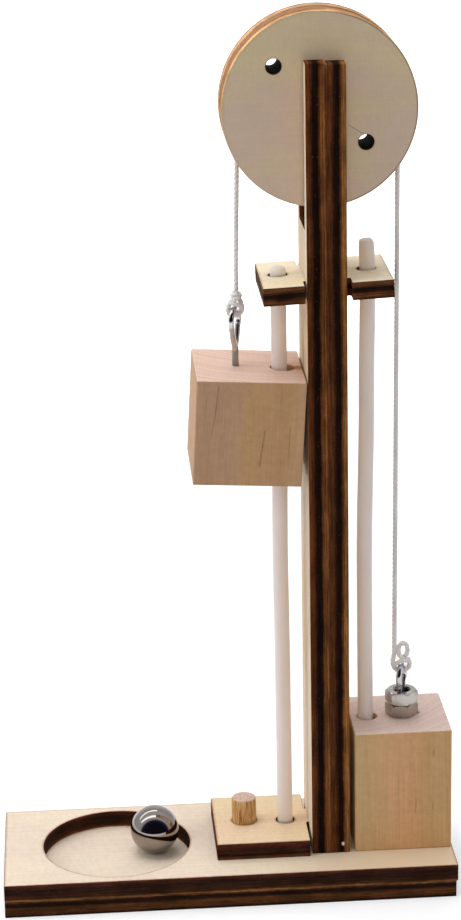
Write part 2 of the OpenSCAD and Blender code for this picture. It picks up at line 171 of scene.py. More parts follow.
def srgb(red, green, blue):
    """A colour given as it shows on a screen, 0 to 255, as linear RGBA."""
    def linear(v):
        v /= 255
        return v / 12.92 if v <= 0.04045 else ((v + 0.055) / 1.055) ** 2.4
    return (linear(red), linear(green), linear(blue), 1.0)


def stops(*rows):
    """A ramp's marks, each given as its place from 0 to 1 and its colour on a screen."""
    return tuple((place, srgb(*colour)) for place, *colour in rows)


class Nodes:
    """A node tree, with one short call for each kind of node."""

    def __init__(self, tree):
        self.tree = tree
        tree.nodes.clear()

    def node(self, kind, values=None, **settings):
        """A new node. values holds what its inputs take, by number or name: a socket or a fixed value."""
        made = self.tree.nodes.new("ShaderNode" + kind)
        for key, value in settings.items():
            setattr(made, key, value)
        for key, value in (values or {}).items():
            if isinstance(value, bpy.types.NodeSocket):
                self.tree.links.new(value, made.inputs[key])
            elif value is not None:
                made.inputs[key].default_value = value
        return made

    def math(self, operation, a, b=None, clamp=False):
        return self.node("Math", {0: a, 1: b}, operation=operation, use_clamp=clamp).outputs[0]

    def add(self, a, b):
        return self.math("ADD", a, b)

    def less(self, a, b):
        return self.math("SUBTRACT", a, b)

    def times(self, a, b):
        return self.math("MULTIPLY", a, b)

    def swing(self, value, pattern, amount):
        """The value moved by a pattern, up to half the amount either way."""
        return self.add(value, self.times(self.add(pattern, -0.5), amount))

    def vector(self, operation, a, b=None, scale=None):
        made = self.node("VectorMath", {0: a, 1: b, "Scale": scale}, operation=operation)
        return made.outputs["Value" if operation in ("LENGTH", "DOT_PRODUCT") else "Vector"]

    def split(self, vector):
        return self.node("SeparateXYZ", {0: vector}).outputs

    def join(self, x, y, z):
        return self.node("CombineXYZ", {0: x, 1: y, 2: z}).outputs[0]

    def noise(self, vector, detail=2.0, rough=0.5, scale=1.0):
        values = {"Vector": vector, "Scale": scale, "Detail": detail, "Roughness": rough}
        return self.node("TexNoise", values).outputs["Fac"]

    def step(self, value, low, high, to_low=0.0, to_high=1.0):
        """Goes smoothly from to_low at low to to_high at high."""
        values = {"Value": value, "From Min": low, "From Max": high, "To Min": to_low, "To Max": to_high}
        return self.node("MapRange", values, interpolation_type="SMOOTHSTEP").outputs[0]

    def ramp(self, factor, marks):
        made = self.node("ValToRGB", {0: factor})
        elements = made.color_ramp.elements
        while len(elements) < len(marks):
            elements.new(1.0)
        for element, (place, colour) in zip(elements, marks):
            element.position = place
            element.color = colour
        return made.outputs["Color"]

    def mix(self, factor, a, b):
        # a colour mix has its factor first, its two colours seventh and eighth, and its result third
        return self.node("Mix", {0: factor, 6: a, 7: b}, data_type="RGBA").outputs[2]

    def vary(self, colour, pattern, dark, light, low=0.3, high=0.7):
        """The colour scaled from dark, where the pattern is low, to light, where it is high."""
        return self.vector("SCALE", colour, scale=self.step(pattern, low, high, dark, light))


class Shader(Nodes):
    """A material's nodes, working in its piece's own coordinates, in millimetres."""

    def __init__(self, name):
        self.material = bpy.data.materials.new(name)
        self.material.use_nodes = True
        super().__init__(self.material.node_tree)
        where = self.node("TexCoord").outputs
        self.at = self.vector("SCALE", where["Object"], scale=1 / MM)
        self.x, self.y, self.z = self.split(self.at)
        self.flat = self.join(self.x, self.y, 0.0)
        self.normal = where["Normal"]

    def grain(self, scales, seed=0.0, detail=2.0, rough=0.5, scale=1.0):
        """Noise scaled by axis or evenly, and moved by its seed so that no two pieces share a pattern."""
        scales = scales if isinstance(scales, tuple) else (scales, scales, scales)
        scaled = self.vector("MULTIPLY", self.at, scales)
        moved = self.vector("ADD", scaled, (seed, seed * 1.7, seed * 0.6))
        return self.noise(moved, detail, rough, scale)

    def level(self, low, high):
        """1 on faces that lie square to the piece's z, and 0 on its sides."""
        return self.step(self.math("ABSOLUTE", self.split(self.normal)[2]), low, high)

    def to_line(self, start, end):
        """How far each point lies from a straight line between two places."""
        start, run = Vector(start), Vector(end) - Vector(start)
        off = self.vector("SUBTRACT", self.at, start)
        along = self.vector("DOT_PRODUCT", off, run)
        share = self.math("MULTIPLY", along, 1 / run.length_squared, clamp=True)
        return self.vector("LENGTH", self.vector("SUBTRACT", off, self.vector("SCALE", run, scale=share)))

    def streaked(self, colour, marks):
        """The colour with thin marks. Each has a start, an end, a width, a tint and a strength."""
        for start, end, width, tint, strength in marks:
            ragged = self.grain(1.8, width * 9)
            reach = self.swing(self.to_line(start, end), ragged, width * 0.8)
            colour = self.mix(self.step(reach, width * 0.3, width, strength, 0.0), colour, tint)
        return colour

    def surface(self, colour, rough, height, depth, strength, **fixed):
        """Ends the material: its colour, its roughness, its relief and the shader's fixed values."""
        relief = self.node("Bump", {"Height": height, "Distance": depth * MM, "Strength": strength})
        values = {"Base Color": colour, "Roughness": rough, "Normal": relief.outputs[0]}
        values.update({key.replace("_", " "): value for key, value in fixed.items()})
        self.node("OutputMaterial", {0: self.node("BsdfPrincipled", values).outputs[0]})
        return self.material

# ---- materials

CREAM, ROSE, HONEY = srgb(235, 218, 196), srgb(231, 212, 193), srgb(228, 204, 172)
SMOKE, BURNT, RIM_DARK = srgb(150, 96, 58), srgb(30, 17, 12), srgb(110, 70, 48)
WHEEL_SPECKLE = 0.035
# a board's width, and how far its tints lean from front to back
BOARD_W, BOARD_LEAN = 26, 0.3


def veneer(s, seed, pale, warm, depth):
    """Pale sanded birch: slow drifts of colour, soft ripples, fine lines along the grain and short pores."""
    drift = s.grain((0.03, 0.08, 0.08), seed)
    colour = s.mix(s.step(drift, 0.36, 0.62), pale, warm)
    lines = s.grain((0.06, 1.3, 1.3), seed + 3, 4.0, 0.65)
    colour = s.vary(colour, lines, 1 - 0.05 * depth, 1 + 0.02 * depth)
    ripples = s.grain((1.1, 0.45, 0.45), seed + 5, 4.0, 0.75)
    colour = s.vary(colour, ripples, 1 - 0.06 * depth, 1 + 0.03 * depth)
    pores = s.grain((0.6, 7.0, 7.0), seed + 6)
    return s.vary(colour, pores, 1.0, 1 - 0.08 * depth, 0.6, 0.75), lines


def cut_edge(s, seed, thick, bands, waver):
    """A laser-cut plywood edge: bands of scorched plies that waver along the sheet, streaked and flecked."""
    along = s.grain((0.045, 0.045, 0.0), seed + 7, 3.0)
    rough_line = s.grain(0.6, seed + 9, 3.0)
    across = s.add(s.math("DIVIDE", s.z, thick), 0.5)
    colour = s.ramp(s.swing(s.swing(across, along, waver), rough_line, 0.1), bands)
    streaks = s.grain((0.1, 0.1, 4.5), seed + 11, 4.0, 0.7)
    colour = s.vary(colour, streaks, 0.55, 1.5, 0.34, 0.66)
    smoulder = s.grain((0.16, 0.16, 0.3), seed + 13)
    colour = s.vary(colour, smoulder, 0.72, 1.26)
    grit = s.grain((2.2, 2.2, 3.0), seed + 14, 3.0, 0.7)
    colour = s.vary(colour, grit, 0.84, 1.16)
    flecks = s.grain((3.0, 3.0, 5.0), seed + 15, 1.0)
    return s.mix(s.step(flecks, 0.72, 0.8, 0.0, 0.35), colour, srgb(176, 136, 90)), streaks


def from_cuts(s, size, circles, disc):
    """How far each point of a face lies from the nearest cut: the sheet's outline or a round hole."""
    if disc:
        nearest = s.less(size[0] / 2, s.vector("LENGTH", s.flat))
    else:
        to_end = s.less(size[0] / 2, s.math("ABSOLUTE", s.x))
        to_side = s.less(size[1] / 2, s.math("ABSOLUTE", s.y))
        nearest = s.math("MINIMUM", to_end, to_side)
    for x, y, radius in circles:
        off = s.vector("LENGTH", s.vector("SUBTRACT", s.flat, (x, y, 0.0)))
        nearest = s.math("MINIMUM", nearest, s.math("ABSOLUTE", s.less(off, radius)))
    return nearest


def sheet_wood(name, seed, size, bands, pale, warm, circles=(), scorch=0.55, disc=False, depth=1.0,
               waver=0.14, marks=(), honey=None):
    """One plywood piece: veneer on its faces, scorched plies on its edges, and smoke along each cut.
    honey gives the stretch of x over which the veneer turns to a honey colour."""
    s = Shader(name)
    face, lines = veneer(s, seed, pale, warm, depth)
    if honey:
        face = s.mix(s.step(s.x, *honey), face, HONEY)
    if disc:
        dots = s.grain(2.4, seed + 19, 3.0, 0.8)
        face = s.vary(face, dots, 1 - WHEEL_SPECKLE, 1 + WHEEL_SPECKLE)
    ragged = s.grain(0.9, seed + 17)
    reach = s.swing(from_cuts(s, size, circles, disc), ragged, 0.5)
    face = s.mix(s.step(reach, 0.1, 0.75, scorch, 0.0), face, SMOKE)
    edge, streaks = cut_edge(s, seed, size[2], bands, waver)
    if disc:
        rim = size[0] / 2
        radius = s.vector("LENGTH", s.flat)
        # the walls of the small holes are burnt black, and the face's rim is darker on its right, towards x >
        # 0
        edge = s.mix(s.step(radius, rim - 1.5, rim - 1.0, 1.0, 0.0), edge, BURNT)
        right_rim_darkening = s.times(s.step(radius, rim - 0.5, rim - 0.2), s.step(s.x, -2.0, 8.0, 0.0, 0.6))
        face = s.mix(right_rim_darkening, face, RIM_DARK)
    level = s.level(0.9, 0.98)
    colour = s.streaked(s.mix(level, edge, face), marks)
    rough = s.add(s.times(streaks, 0.3), 0.6)
    relief = s.add(s.times(lines, level), s.times(streaks, s.times(s.less(1.0, level), 2.5)))
    return s.surface(colour, rough, relief, 0.08, 0.6, Specular_IOR_Level=0.05)


def block_wood(name, seed, heart, tints, end_pale, end_dark, marks):
    """Solid wood with upright grain: boards of slightly different tints, from left to right, with fine fibres
    and short pores, and rings round a heart beside the block on its sawn ends."""
    s = Shader(name)
    bend = s.grain((0.03, 0.03, 0.012), seed)
    across = s.add(s.times(s.x, 1 / BOARD_W), s.times(s.y, BOARD_LEAN / BOARD_W))
    side = s.ramp(s.swing(s.add(across, 0.5), bend, 0.5), tints)
    off = s.vector("SUBTRACT", s.join(s.x, s.y, s.times(s.z, 0.05)), heart)
    reach = s.add(s.vector("LENGTH", off), s.times(bend, 6.0))
    rings = s.noise(s.join(s.times(reach, 1.1), s.times(s.z, 0.006), seed), 4.0, 0.7)
    side = s.vary(side, rings, 0.95, 1.03, 0.32, 0.66)
    fibres = s.grain((2.2, 2.2, 0.06), seed + 3, 4.0, 0.7)
    side = s.vary(side, fibres, 0.93, 1.05)
    mottle = s.grain((0.5, 0.5, 0.7), seed + 9, 3.0, 0.7)
    side = s.vary(side, mottle, 0.95, 1.04)
    pores = s.grain((4.5, 4.5, 0.45), seed + 5, 1.0)
    side = s.mix(s.step(pores, 0.66, 0.78, 0.0, 0.3), side, srgb(140, 94, 58))
    end = s.mix(s.step(rings, 0.34, 0.6), end_dark, end_pale)
    grit = s.grain(1.6, seed + 7, 3.0, 0.7)
    end = s.vary(end, grit, 0.93, 1.05)
    colour = s.streaked(s.mix(s.level(0.6, 0.85), side, end), marks)
    rough = s.step(rings, 0.2, 0.8, 0.55, 0.7)
    relief = s.add(fibres, s.times(rings, 0.5))
    return s.surface(colour, rough, relief, 0.05, 0.5, Specular_IOR_Level=0.12)


def rod_plastic(name, seed):
    """Milky, slightly translucent rod with fine drawn lines along it."""
    s = Shader(name)
    haze = s.grain((0.3, 0.3, 0.02), seed)
    lines = s.grain((5.0, 5.0, 0.05), seed + 3)
    colour = s.mix(s.step(haze, 0.35, 0.65), srgb(236, 226, 222), srgb(235, 223, 213))
    colour = s.vary(colour, lines, 0.98, 1.01)
    rough = s.step(lines, 0.3, 0.7, 0.34, 0.44)
    return s.surface(
        colour, rough, lines, 0.01, 0.3, Subsurface_Weight=1.0, Subsurface_Radius=(1.0, 0.85, 0.7),
        Subsurface_Scale=0.003, Specular_IOR_Level=0.3)


def metal(name, seed, bright, dull, smooth, coarse, scale, dent):
    """Plated or polished steel: a slow drift in tone and polish, and fine scratches."""
    s = Shader(name)
    cloud = s.grain(0.35, seed, 3.0, scale=scale)
    scratches = s.grain((0.4, 6.0, 6.0), seed + 3, scale=scale)
    colour = s.mix(s.step(cloud, 0.35, 0.65), bright, dull)
    scuffed = s.step(scratches, 0.6, 0.75, 0.0, (coarse - smooth) * 0.6)
    rough = s.add(s.step(cloud, 0.3, 0.7, smooth, coarse), scuffed)
    return s.surface(colour, rough, scratches, dent, 0.5, Metallic=1.0)


def cord_fibre(name, seed):
    """Soft grey-white cotton yarn."""
    s = Shader(name)
    fuzz = s.grain(5.0, seed, 3.0, 0.7)
    stain = s.grain((0.2, 0.2, 0.12), seed + 3, 1.0)
    colour = s.mix(s.step(stain, 0.35, 0.65), srgb(246, 241, 238), srgb(236, 230, 226))
    colour = s.vary(colour, fuzz, 0.9, 1.03)
    rough = s.step(fuzz, 0.3, 0.7, 0.8, 0.95)
    return s.surface(colour, rough, fuzz, 0.04, 0.6, Specular_IOR_Level=0.1, Sheen_Weight=0.1)


def dowel_wood(name, seed):
    """Split-looking dowel: brown furrows down its side and a pinkish sawn end."""
    s = Shader(name)
    around = s.math("ARCTAN2", s.y, s.x)
    furrows = s.noise(s.join(s.times(around, 4.5), s.times(s.z, 0.12), seed), 4.0, 0.7)
    side = s.ramp(furrows, stops(
        (0.32, 126, 78, 42), (0.43, 176, 124, 72), (0.55, 214, 172, 118), (0.7, 228, 192, 142)))
    pores = s.grain(1.6, seed + 3, 3.0)
    end = s.mix(s.step(pores, 0.35, 0.65), srgb(196, 164, 146), srgb(216, 190, 176))
    up = s.step(s.split(s.normal)[2], 0.6, 0.85)
    relief = s.add(s.times(furrows, s.times(s.less(1.0, up), 2.0)), s.times(pores, up))
    return s.surface(s.mix(up, side, end), 0.7, relief, 0.12, 0.8, Specular_IOR_Level=0.2)

# ---- mesh helpers

# an eased edge's points, as shares of its radius down from the face
EASED = (0.0, 0.3, 0.6, 0.87, 1.0)
# half the height of a burnt-back ply line, and each line's height from 0 to 1 and its depth
GROOVE = 0.15
PLY_LINES = ((0.33, 0.05), (0.64, 0.05))
# how finely a plate's walls waver along the outline and through the thickness
WAVE_ALONG, WAVE_THROUGH = 0.35, 1.3
SLIVER = 1e-12


def shift(x, y, z):
    return Matrix.Translation(Vector((x, y, z)) * MM)


def standing(node):
    """The place of a piece that is modelled from its foot up."""
    centre = middle(node)
    return shift(centre.x, centre.y, corners(node)[0].z)


def local_frame(centre, along=X, thickness=Z):
    """A piece's own frame: its x runs along the grain and its z through the thickness."""
    side = thickness.cross(along)
    turn = Matrix((along, side, thickness)).transposed().to_4x4()
    return shift(*centre) @ turn


@contextmanager
def edited(mesh):
    """The mesh, open for changes."""
    draft = bmesh.new()
    draft.from_mesh(mesh)
    yield draft
    draft.to_mesh(mesh)
    draft.free()


def mesh_from(name, points, faces, smooth=True, flat_faces=()):
    mesh = bpy.data.meshes.new(name)
    mesh.from_pydata([tuple(Vector(p) * MM) for p in points], [], faces)
    flat = set(flat_faces)
    for polygon in mesh.polygons:
        polygon.use_smooth = smooth and polygon.index not in flat
    mesh.validate()
    return mesh


def add_piece(node, mesh, local, material):
    """Puts a piece in place, on the body of the CAD node that it stands for."""
    piece = add_object(node + "_piece", mesh)
    piece.matrix_world = local
    mesh.materials.clear()
    mesh.materials.append(material)
    bpy.context.view_layer.update()
    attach(piece, frame["nodes"][node]["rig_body"])
    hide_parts(node)
    return piece


def circle(x, y, radius, count=64):
    """A hole's points, clockwise, so that the wood lies on their left."""
    turns = [-2 * pi * i / count for i in range(count)]
    return [Vector((x + radius * cos(t), y + radius * sin(t))) for t in turns]


def rounded(points, radius, step=1.5, arc=3):
    """An outline with small round corners and its straight sides divided, so that they can waver."""
    loop = []
    count = len(points)
    for i, corner in enumerate(points):
        before, here, after = Vector(points[i - 1]), Vector(corner), Vector(points[(i + 1) % count])
        back, on = (before - here).normalized(), (after - here).normalized()
        start, end = here + back * radius, here + on * radius
        for k in range(arc + 1):
            t = k / arc
            loop.append((1 - t) ** 2 * start + 2 * t * (1 - t) * here + t * t * end)
        target = after - on * radius
        parts = max(1, round((target - end).length / step))
        loop += [end.lerp(target, k / parts) for k in range(1, parts)]
    return loop


def rectangle(size, radius=0.25):
    x, y = size[0] / 2, size[1] / 2
    return rounded([(-x, -y), (x, -y), (x, y), (-x, y)], radius)


def inset(loop, distance):
    """The outline moved into the wood, which lies on its left."""
    moved = []
    count = len(loop)
    for i, here in enumerate(loop):
        a = (here - loop[i - 1]).normalized()
        b = (loop[(i + 1) % count] - here).normalized()
        na, nb = Vector((-a.y, a.x)), Vector((-b.y, b.x))
        moved.append(here + (na + nb) * (distance / max(0.4, 1 + na.dot(nb))))
    return moved


def wavy(row, height, wave, seed):
    """A ring of a plate's wall, each of its points moved square to the outline by a smooth noise."""
    points = []
    for i, p in enumerate(row):
        place = Vector((p.x * WAVE_ALONG, p.y * WAVE_ALONG, height * WAVE_THROUGH + seed))
        ahead = (row[(i + 1) % len(row)] - row[i - 1]).normalized()
        moved = p + Vector((-ahead.y, ahead.x)) * abs(wave * noise.noise(place))
        points.append((moved.x, moved.y, height))
    return points


def plate(node, loops, thick, edge=0.12, wave=0.05, relief=PLY_LINES, seed=0.0):
    """A sheet with eased edges and burnt-back ply lines. Its outline comes first, counter-clockwise, and then
    its holes, clockwise."""
    half = thick / 2
    top = [(edge - edge * sqrt(max(0.0, 1 - (1 - b) ** 2)), half - edge * b) for b in EASED]
    wall = []
    for share, deep in sorted(relief, reverse=True):
        height = (share - 0.5) * thick
        wall += [(0.0, height + GROOVE), (deep, height), (0.0, height - GROOVE)]
    profile = top + wall + [(i, -z) for i, z in reversed(top)]
    points, faces, flat, lids = [], [], [], []
    for loop in loops:
        first, count = len(points), len(loop)
        for depth, height in profile:
            points += wavy(inset(loop, depth) if depth else loop, height, wave, seed)
        for ring in range(len(profile) - 1):
            for i in range(count):
                a, b = first + ring * count + i, first + ring * count + (i + 1) % count
                faces.append((a, a + count, b + count, b))
        lids.append((first, first + (len(profile) - 1) * count, count))
    for side in (0, 1):
        index = [lid[side] + i for lid in lids for i in range(lid[2])]
        shapes = [[Vector(points[lid[side] + i]) for i in range(lid[2])] for lid in lids]
        for triangle in geometry.tessellate_polygon(shapes):
            a, b, c = (index[v] for v in triangle)
            spread = (Vector(points[b]) - Vector(points[a])).cross(Vector(points[c]) - Vector(points[a]))
            if spread.length < SLIVER:
                continue
            if (spread.z > 0) == (side == 1):
                b, c = c, b
            flat.append(len(faces))
            faces.append((a, b, c))
    return mesh_from(node + "_piece", points, faces, flat_faces=flat)


def turned(name, profile, sides, reach=None):
    """A shape turned about z from (radius, height) points. reach changes a radius by its angle and height."""
    points, faces = [], []
    for radius, height in profile:
        for i in range(sides):
            angle = 2 * pi * i / sides
            r = reach(radius, angle, height) if reach else radius
            points.append((r * cos(angle), r * sin(angle), height))
    for ring in range(len(profile) - 1):
        for i in range(sides):
            a, b = ring * sides + i, ring * sides + (i + 1) % sides
            faces.append((a, b, b + sides, a + sides))
    mesh = mesh_from(name, points, faces)
    with edited(mesh) as draft:
        bmesh.ops.remove_doubles(draft, verts=draft.verts, dist=1e-7)
        bmesh.ops.dissolve_degenerate(draft, dist=1e-8, edges=draft.edges)
        bmesh.ops.recalc_face_normals(draft, faces=draft.faces)
    return mesh


def saw(turns):
    """A thread's profile: 1 at its ends and 0 halfway, once for each turn."""
    return abs(2 * (turns % 1) - 1)


def prism(name, outline, front, back):
    """A closed shape with an (x, z) outline, from one y to another."""
    count = len(outline)
    points = [(x, y, z) for y in (front, back) for x, z in outline]
    faces = [tuple(range(count)), tuple(reversed(range(count, 2 * count)))]
    faces += [(k, k + count, (k + 1) % count + count, (k + 1) % count) for k in range(count)]
    return mesh_from(name, points, faces, smooth=False)


def cut(piece, cutters):
    """Takes shapes out of a piece. Each cutter is its mesh and its place."""
    tools = []
    for mesh, place in cutters:
        with edited(mesh) as draft:
            bmesh.ops.recalc_face_normals(draft, faces=draft.faces)
        tool = add_object(mesh.name, mesh)
        tool.matrix_world = place
        tools.append(tool)
        step = piece.modifiers.new("cut", "BOOLEAN")
        step.operation = "DIFFERENCE"
        step.solver = "EXACT"
        step.object = tool
    bpy.context.view_layer.update()
    whole = bpy.data.meshes.new_from_object(piece.evaluated_get(bpy.context.evaluated_depsgraph_get()))
    piece.modifiers.clear()
    piece.data = whole
    for tool in tools:
        bpy.data.objects.remove(tool)


def flowing(points, parts=6):
    """A smooth curve through given points."""
    ends = [points[0] * 2 - points[1], *points, points[-1] * 2 - points[-2]]
    curve = []
    for p0, p1, p2, p3 in zip(ends, ends[1:], ends[2:], ends[3:]):
        for k in range(parts):
            t = k / parts
            curve.append(0.5 * (
                2 * p1 + (p2 - p0) * t + (2 * p0 - 5 * p1 + 4 * p2 - p3) * t ** 2
                + (3 * p1 - p0 - 3 * p2 + p3) * t ** 3))
    return curve + [points[-1]]


def frames_along(path):
    """For each point of a path: the point, two directions square to it, and the length so far."""
    rows = []
    side = None
    length = 0.0
    for i, here in enumerate(path):
        ahead = (path[min(i + 1, len(path) - 1)] - path[max(i - 1, 0)]).normalized()
        if side is None:
            side = ahead.cross(Y if abs(ahead.y) < 0.9 else X).normalized()
        side = (side - ahead * side.dot(ahead)).normalized()
        if i:
            length += (here - path[i - 1]).length
        rows.append((here, side, ahead.cross(side), length))
    return rows


def sweep(path, radius, sides):
    """Points and faces of a closed tube along a path."""
    points, faces = [], []
    for here, side, other, _ in frames_along(path):
        for k in range(sides):
            angle = 2 * pi * k / sides
            points.append(here + radius * (cos(angle) * side + sin(angle) * other))
    last = len(points) - sides
    for ring in range(0, last, sides):
        for k in range(sides):
            a, b = ring + k, ring + (k + 1) % sides
            faces.append((a, b, b + sides, a + sides))
    faces.append(tuple(range(sides - 1, -1, -1)))
    faces.append(tuple(last + k for k in range(sides)))
    return points, faces


def joined(parts):
    points, faces = [], []
    for more_points, more_faces in parts:
        start = len(points)
        points += more_points
        faces += [tuple(start + v for v in face) for face in more_faces]
    return points, faces


def even(path, step):
    """The path with points a steady step apart."""
    rows = [path[0]]
    spare = 0.0
    for a, b in zip(path, path[1:]):
        span = (b - a).length
        at = step - spare
        while at <= span:
            rows.append(a.lerp(b, at / span))
            at += step
        spare = span - (at - step)
    if (rows[-1] - path[-1]).length > step * 0.3:
        rows.append(path[-1])
    return rows

# ---- plywood

BASE_UPPER_BANDS = stops(
    (0, 150, 104, 60), (0.06, 120, 76, 40), (0.14, 66, 38, 22), (0.34, 54, 30, 18), (0.52, 50, 29, 20),
    (0.66, 46, 27, 20), (0.8, 62, 33, 22), (0.92, 80, 40, 26), (1, 98, 54, 38))
BASE_LOWER_BANDS = stops(
    (0, 26, 15, 10), (0.1, 40, 22, 14), (0.2, 78, 46, 24), (0.4, 88, 54, 28), (0.56, 84, 50, 26),
    (0.66, 38, 20, 14), (0.84, 32, 16, 12), (0.94, 86, 50, 28), (1, 140, 98, 56))
BRACKET_BANDS = stops(
    (0, 62, 32, 18), (0.16, 98, 58, 30), (0.34, 84, 48, 26), (0.46, 36, 20, 14), (0.62, 32, 18, 13),
    (0.72, 84, 50, 28), (0.9, 104, 66, 36), (1, 84, 48, 28))
FOOT_BANDS = stops(
    (0, 92, 60, 32), (0.14, 80, 48, 26), (0.26, 36, 16, 12), (0.42, 60, 34, 22), (0.6, 52, 28, 20),
    (0.78, 72, 34, 24), (0.92, 84, 42, 30), (1, 104, 60, 42))
MAST_LEFT_BANDS = stops(
    (0, 86, 46, 24), (0.1, 100, 54, 26), (0.27, 74, 36, 17), (0.36, 26, 11, 6), (0.6, 22, 9, 5),
    (0.68, 84, 46, 22), (0.78, 116, 70, 35), (0.84, 98, 56, 28), (0.91, 132, 84, 43), (1, 88, 48, 24))
MAST_RIGHT_BANDS = stops(
    (0, 96, 54, 27), (0.1, 82, 44, 22), (0.22, 92, 52, 26), (0.34, 52, 26, 13), (0.44, 29, 12, 7),
    (0.62, 30, 13, 7), (0.71, 100, 58, 27), (0.84, 148, 98, 50), (0.95, 138, 88, 44), (1, 112, 68, 34))
# a disc's plies from its front face to its back
WHEEL_BANDS = stops(
    (0, 204, 170, 126), (0.4, 212, 164, 116), (0.7, 196, 140, 92), (0.9, 160, 102, 60),
    (1, 130, 76, 44))
WHEEL_BACK_BANDS = stops(
    (0, 208, 158, 116), (0.45, 218, 172, 126), (0.72, 206, 154, 108), (0.82, 110, 74, 52),
    (1, 48, 33, 27))
# the back disc's salmon veneer is painted lighter than the other discs' veneer, as painted light on the strip
# of its face that shows in the shaded groove
WHEEL_TAN, WHEEL_STRAW, WHEEL_SALMON_LIT = srgb(217, 192, 170), srgb(218, 198, 160), srgb(236, 196, 158)
BRACKET_PALE, BRACKET_WARM = srgb(243, 226, 192), srgb(246, 234, 208)
FOOT_PALE, FOOT_WARM = srgb(232, 210, 172), srgb(234, 206, 174)
BASE_HONEY = (-8.0, 42.0)
# a fleck of white low on the front edge
MAST_MARKS = {
    "mast_left": (),
    "mast_right": (((-94.3, 10.8, 0.6), (-94.0, 10.8, 0.6), 0.5, srgb(235, 235, 240), 1.0),),
}
WHEEL_SCRATCH = ((9.9, 5.8, -2.1), (6.4, 3.6, -2.1), 0.14, srgb(128, 104, 84), 0.6)
# darker burns on the wings' front edges
WING_MARKS = {
    "bracket_left": (((-11.0, -12.5, -0.2), (-8.6, -12.5, 0.0), 1.3, srgb(22, 10, 9), 0.8),),
    "bracket_right": (((6.6, -12.5, 0.1), (10.5, -12.5, 0.1), 0.9, srgb(24, 12, 9), 0.7),),
}


def ply_piece(node, loops, size, local, seed, bands, pale, warm, edge=0.12, wave=0.05, wall_seed=None,
              **looks):
    """One plywood piece. Its size is given along the grain, across it and through the thickness."""
    mesh = plate(node, loops, size[2], edge, wave, seed=wall_seed or seed)
    wood = sheet_wood(node + "_wood", seed, size, bands, pale, warm, **looks)
    return add_piece(node, mesh, local, wood)


def base_sheets():
    centre, size = extent("base_upper")
    tray = (TRAY_X - centre.x, -centre.y, TRAY_R)
    rods = [middle(node) - centre for node in ("rod_left", "rod_right")]
    sockets = [circle(rod.x, rod.y, SOCKET_R, 96) for rod in rods]
    ply_piece(
        "base_upper", [rectangle(size), circle(*tray, 144), *sockets], size, local_frame(centre), 1.0,
        BASE_UPPER_BANDS, CREAM, ROSE, circles=(tray,), scorch=0.5, honey=BASE_HONEY)

    centre, size = extent("base_lower")
    ply_piece(
        "base_lower", [rectangle(size)], size, local_frame(centre), 4.0, BASE_LOWER_BANDS, ROSE, CREAM,
        wall_seed=2.0)


def mast_layer(node, bands, seed):
    """One layer of the mast. The sheet lies upright: its x is the height, its y points to the front and its z
    to the right."""
    low, high = corners(node)
    centre, size = extent(node)
    foot, top, front, back = low.z - centre.z, high.z - centre.z, centre.y - low.y, centre.y - high.y
    slot_front, slot_back = centre.y - SLOT_FRONT, centre.y - SLOT_BACK
    slot_floor = SLOT_FLOOR - centre.z
    # the prongs' tops are sawn a little askew, each layer its own way
    inner, outer = PRONG_TOPS[node]
    outline = [
        (foot, back), (top, back), (top, slot_back), (slot_floor, slot_back),
        (slot_floor, slot_front), (top + inner, slot_front), (top + outer, front), (foot, front),
    ]
    if node == "mast_left":
        # the foot plate's tab goes in here
        notch = centre.y - FOOT_TAB_Y
        notch_w, notch_top = FOOT_TAB_W / 2 + FIT, foot + BRACKET_T + FIT
        outline += [
            (foot, notch + notch_w), (notch_top, notch + notch_w),
            (notch_top, notch - notch_w), (foot, notch - notch_w),
        ]
    # and the bracket's tabs here
    height = BRACKET_Z - centre.z + tan(BRACKET_TILT) * (centre.x - SEAM_X)
    tab = centre.y - LINE_Y
    up, across = BRACKET_T / 2 + FIT, TAB_W / 2 + FIT
    mortise = [
        Vector((height + i * up, tab + k * across)) for i, k in ((-1, -1), (-1, 1), (1, 1), (1, -1))
    ]
    piece = ply_piece(
        node, [rounded(outline, 0.25, step=2.0), mortise], (size.z, size.y, size.x),
        local_frame(centre, along=Z, thickness=X), seed, bands, CREAM, HONEY, edge=0.15, wave=0.09,
        scorch=0.3, waver=0.22, marks=MAST_MARKS[node])
    bore_r, bore_deep, bore_ahead = AXLE_R + FIT, 30, 2.5
    bore = turned("bore", [(0, 0), (bore_r, 0), (bore_r, bore_deep), (0, bore_deep)], 48)
    bore_at = local_frame((AXLE.x, SLOT_FRONT - bore_ahead, AXLE.z), thickness=Y)
    seam = prism(
        "notch", [(-SEAM_NOTCH_LEFT, 1), (SEAM_NOTCH_RIGHT, 1), (0, -SEAM_NOTCH_DEEP)], low.y - 1, high.y + 1)
    cut(piece, [(bore, bore_at), (seam, shift(SEAM_X, 0, MAST_TOP))])


def wheel_discs():
    holes = [(x, -z, PEEP_R) for x, z in PEEPS]
    # the back disc takes the lighter salmon veneer, which is painted light for the shaded groove between the
    # discs
    for node, bands, seed, pale, warm in (
            ("wheel_front", WHEEL_BANDS, 21.0, WHEEL_TAN, WHEEL_STRAW),
            ("wheel_core", WHEEL_BANDS, 24.0, WHEEL_TAN, WHEEL_STRAW),
            ("wheel_back", WHEEL_BACK_BANDS, 27.0, WHEEL_SALMON_LIT, WHEEL_SALMON_LIT)):
        centre, size = extent(node)
        outline = list(reversed(circle(0, 0, size.x / 2, 240)))
        loops = [outline, circle(0, 0, AXLE_R + 0.05, 48), *(circle(*hole) for hole in holes)]
        ply_piece(
            node, loops, (size.x, size.x, size.y), local_frame(centre, thickness=Y), seed, bands, pale, warm,
            edge=0.15, wave=0.03, circles=holes, scorch=0.12, disc=True, depth=0.5, marks=(WHEEL_SCRATCH,))


